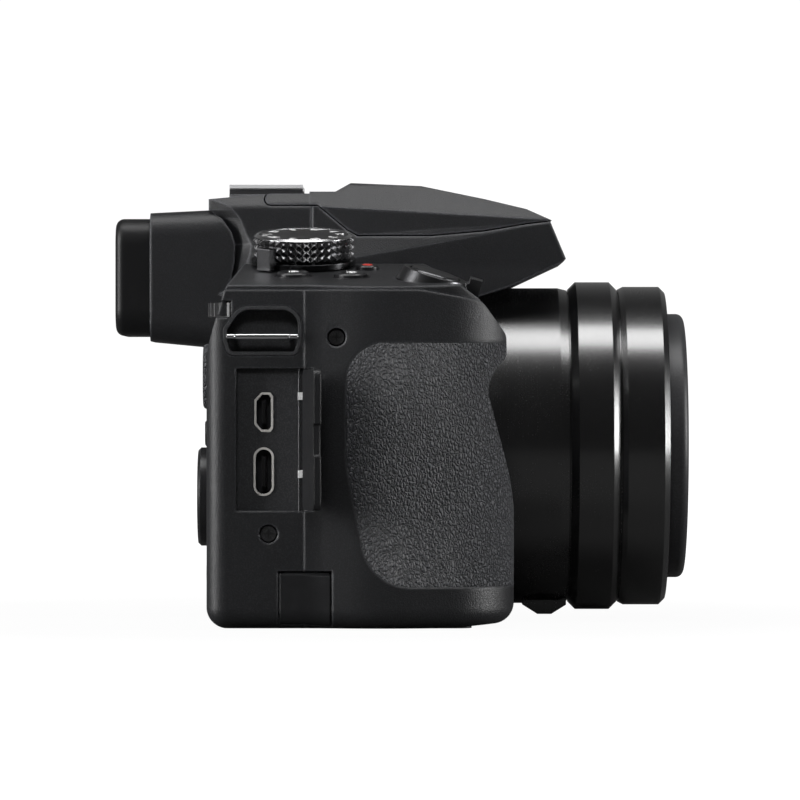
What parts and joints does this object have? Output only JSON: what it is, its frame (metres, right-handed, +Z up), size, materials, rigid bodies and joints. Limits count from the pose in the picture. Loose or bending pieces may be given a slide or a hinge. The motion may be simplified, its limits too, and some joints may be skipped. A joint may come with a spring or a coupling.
{
  "type": "bridge camera",
  "caption": "Bridge camera with a telescoping lens, deep rubber grip, pop-up flash, hot shoe, viewfinder, tilting screen and a port door standing open.",
  "frame": {"origin": "mouth of the tripod socket, on the flat base under the lens axis", "axes": "+Z up out of the top cover, -Y along the lens towards the subject, +X towards the side away from the grip"},
  "size_m": [0.1428, 0.1226, 0.0936],
  "materials": {
    "body_plastic": "fine speckled matt charcoal",
    "cover_plastic": "fine speckled matt charcoal",
    "grip_rubber": "leather grain",
    "eyecup_rubber": "soft matt",
    "lens_black": "satin black",
    "ring_black": "glossy black",
    "cap_black": "matt",
    "tube_black": "satin black",
    "dial_metal": "satin black with bright rim",
    "lever_metal": "dark grey gloss",
    "button_plastic": "satin",
    "button_metal": "dark satin metal",
    "shoe_steel": "bright satin",
    "contact_gold": "gold plated",
    "wire_chrome": "polished",
    "port_steel": "bright",
    "panel_plastic": "matt",
    "door_rubber": "matt",
    "glass": "coated",
    "screen_glass": "glossy black window",
    "window_plastic": "clear ribbed",
    "reflector": "polished",
    "sensor": "coated",
    "board": "circuit board",
    "frame_metal": "cast",
    "battery_case": "matt",
    "card_plastic": "matt",
    "bay_plastic": "matt",
    "socket_steel": "machined",
    "screw_steel": "black oxide"
  },
  "bodies": {
    "camera_body": {"front_shell": "body_plastic", "rear_shell": "body_plastic", "top_cover": "cover_plastic", "hump_front_cover": "cover_plastic", "grip_rubber": "grip_rubber", "viewfinder_housing": "cover_plastic", "eyecup": "eyecup_rubber", "eyepiece_lens": "glass", "viewfinder_display": "screen_glass", "hot_shoe": "shoe_steel", "hot_shoe_contacts": "contact_gold", "control_carrier": "frame_metal", "lens_barrel": "lens_black", "lens_front_ring": "ring_black", "lens_frame": "frame_metal", "image_sensor": "sensor", "main_board": "board", "port_panel": "panel_plastic", "side_ports": "port_steel", "strap_pockets": "panel_plastic", "strap_wires": "wire_chrome", "battery_bay": "bay_plastic", "tripod_socket": "socket_steel", "side_screws": "screw_steel", "focus_lamp_window": "window_plastic"},
    "flash": {"flash_lid": "cover_plastic", "flash_reflector": "reflector", "flash_window": "window_plastic"},
    "flash_release": {"flash_release_button": "button_plastic"},
    "dioptre": {"dioptre_dial": "button_plastic"},
    "mode_dial": {"mode_dial": "dial_metal"},
    "power_lever": {"power_lever": "lever_metal"},
    "zoom_lever": {"zoom_lever": "button_metal"},
    "shutter": {"shutter_button": "button_metal"},
    "rear_top_button": {"rear_top_button": "button_plastic"},
    "front_top_button": {"front_top_button": "button_plastic"},
    "movie_button": {"movie_button": "button_plastic"},
    "thumb_dial": {"thumb_dial": "dial_metal"},
    "control_pad": {"control_pad": "button_plastic"},
    "centre_button": {"centre_button": "button_plastic"},
    "delete_button": {"delete_button": "button_plastic"},
    "menu_button": {"menu_button": "button_plastic"},
    "playback_button": {"playback_button": "button_plastic"},
    "screen_bracket": {"screen_bracket": "frame_metal"},
    "screen": {"screen_housing": "body_plastic", "screen_glass": "screen_glass"},
    "control_ring": {"lens_control_ring": "ring_black"},
    "rear_tube": {"lens_rear_tube": "tube_black", "rear_lens_group": "glass"},
    "front_tube": {"lens_front_tube": "tube_black", "front_lens_group": "glass"},
    "lens_cap": {"lens_cap": "cap_black"},
    "cap_tab_grip_side": {"cap_tab_grip_side": "cap_black"},
    "cap_tab_far_side": {"cap_tab_far_side": "cap_black"},
    "port_door": {"port_door": "door_rubber"},
    "coupler_flap": {"coupler_flap": "door_rubber"},
    "battery_door": {"battery_door": "body_plastic"},
    "door_latch": {"door_latch": "button_plastic"},
    "battery": {"battery": "battery_case"},
    "memory_card": {"memory_card": "card_plastic"}
  },
  "joints": [
    {"name": "flash_hinge", "type": "hinge", "parent": "camera_body", "child": "flash", "pos_m": [0, 0.0079, 0.08999], "axis": [-1, 0, 0], "range_deg": [0, 60]},
    {"name": "flash_release_press", "type": "slide", "parent": "camera_body", "child": "flash_release", "axis": [-1, 0, 0], "range_m": [0, 0.0006], "stiffness_N_per_m": 400},
    {"name": "dioptre_turn", "type": "hinge", "parent": "camera_body", "child": "dioptre", "pos_m": [0.017, 0.0275, 0.07], "axis": [1, 0, 0], "range_deg": [-120, 120]},
    {"name": "mode_dial_turn", "type": "hinge", "parent": "camera_body", "child": "mode_dial", "pos_m": [-0.04, 0.0005, 0.07512], "axis": [-0.1586, 0, 0.9873], "continuous": true},
    {"name": "power_lever_turn", "type": "hinge", "parent": "camera_body", "child": "power_lever", "pos_m": [-0.04, 0.0005, 0.07512], "axis": [-0.1586, 0, 0.9873], "range_deg": [-35, 0]},
    {"name": "zoom_lever_turn", "type": "hinge", "parent": "camera_body", "child": "zoom_lever", "pos_m": [-0.058, -0.0262, 0.07], "axis": [-0.1391, -0.2754, 0.9512], "range_deg": [-22, 22], "stiffness_Nm_per_rad": 0.05},
    {"name": "shutter_press", "type": "slide", "parent": "camera_body", "child": "shutter", "axis": [0.1391, 0.2754, -0.9512], "range_m": [0, 0.0003], "stiffness_N_per_m": 800},
    {"name": "rear_top_button_press", "type": "slide", "parent": "camera_body", "child": "rear_top_button", "axis": [0.1586, 0, -0.9873], "range_m": [0, 0.0003], "stiffness_N_per_m": 600},
    {"name": "front_top_button_press", "type": "slide", "parent": "camera_body", "child": "front_top_button", "axis": [0.1586, 0, -0.9873], "range_m": [0, 0.0003], "stiffness_N_per_m": 600},
    {"name": "movie_button_press", "type": "slide", "parent": "camera_body", "child": "movie_button", "axis": [0.1586, 0, -0.9873], "range_m": [0, 0.0003], "stiffness_N_per_m": 600},
    {"name": "thumb_dial_turn", "type": "hinge", "parent": "camera_body", "child": "thumb_dial", "pos_m": [-0.0524, 0.0102, 0.0655], "axis": [0, 0, 1], "continuous": true},
    {"name": "control_pad_press", "type": "slide", "parent": "camera_body", "child": "control_pad", "axis": [0, -1, 0], "range_m": [0, 0.0004], "stiffness_N_per_m": 600},
    {"name": "centre_button_press", "type": "slide", "parent": "camera_body", "child": "centre_button", "axis": [0, -1, 0], "range_m": [0, 0.0005], "stiffness_N_per_m": 500},
    {"name": "delete_button_press", "type": "slide", "parent": "camera_body", "child": "delete_button", "axis": [0, -1, 0], "range_m": [0, 0.0005], "stiffness_N_per_m": 500},
    {"name": "menu_button_press", "type": "slide", "parent": "camera_body", "child": "menu_button", "axis": [0, -1, 0], "range_m": [0, 0.0005], "stiffness_N_per_m": 500},
    {"name": "playback_button_press", "type": "slide", "parent": "camera_body", "child": "playback_button", "axis": [0, -1, 0], "range_m": [0, 0.0005], "stiffness_N_per_m": 500},
    {"name": "screen_bracket_hinge", "type": "hinge", "parent": "camera_body", "child": "screen_bracket", "pos_m": [0.00775, 0.0177, 0.006], "axis": [-1, 0, 0], "range_deg": [0, 45]},
    {"name": "screen_hinge", "type": "hinge", "parent": "screen_bracket", "child": "screen", "pos_m": [0.00775, 0.0177, 0.0543], "axis": [1, 0, 0], "range_deg": [0, 85]},
    {"name": "control_ring_turn", "type": "hinge", "parent": "camera_body", "child": "control_ring", "pos_m": [0, -0.0613, 0.037], "axis": [0, -1, 0], "continuous": true},
    {"name": "rear_tube_slide", "type": "slide", "parent": "camera_body", "child": "rear_tube", "axis": [0, -1, 0], "range_m": [0, 0.024]},
    {"name": "front_tube_slide", "type": "slide", "parent": "rear_tube", "child": "front_tube", "axis": [0, -1, 0], "range_m": [0, 0.024]},
    {"name": "lens_cap_pull", "type": "slide", "parent": "front_tube", "child": "lens_cap", "axis": [0, -1, 0], "range_m": [0, 0.03]},
    {"name": "cap_tab_grip_side_pinch", "type": "slide", "parent": "lens_cap", "child": "cap_tab_grip_side", "axis": [1, 0, 0], "range_m": [0, 0.0015], "stiffness_N_per_m": 500},
    {"name": "cap_tab_far_side_pinch", "type": "slide", "parent": "lens_cap", "child": "cap_tab_far_side", "axis": [-1, 0, 0], "range_m": [0, 0.0015], "stiffness_N_per_m": 500},
    {"name": "port_door_hinge", "type": "hinge", "parent": "camera_body", "child": "port_door", "pos_m": [-0.07025, -0.001, 0.0388], "axis": [0, 0, 1], "range_deg": [-101, 19]},
    {"name": "coupler_flap_hinge", "type": "hinge", "parent": "camera_body", "child": "coupler_flap", "pos_m": [-0.0693, -0.0003, 0.0109], "axis": [0, 1, 0], "range_deg": [0, 45]},
    {"name": "battery_door_hinge", "type": "hinge", "parent": "camera_body", "child": "battery_door", "pos_m": [-0.0471, -0.018, 0.001], "axis": [0, -1, 0], "range_deg": [0, 95]},
    {"name": "door_latch_slide", "type": "slide", "parent": "battery_door", "child": "door_latch", "axis": [1, 0, 0], "range_m": [0, 0.0025]},
    {"name": "battery_slide", "type": "slide", "parent": "camera_body", "child": "battery", "axis": [0, 0, -1], "range_m": [0, 0.0006]},
    {"name": "memory_card_slide", "type": "slide", "parent": "camera_body", "child": "memory_card", "axis": [0, 0, -1], "range_m": [0, 0.0006]}
  ],
  "couplings": [
    {"joint": "front_tube_slide", "follows": "rear_tube_slide", "ratio": 1}
  ]
}
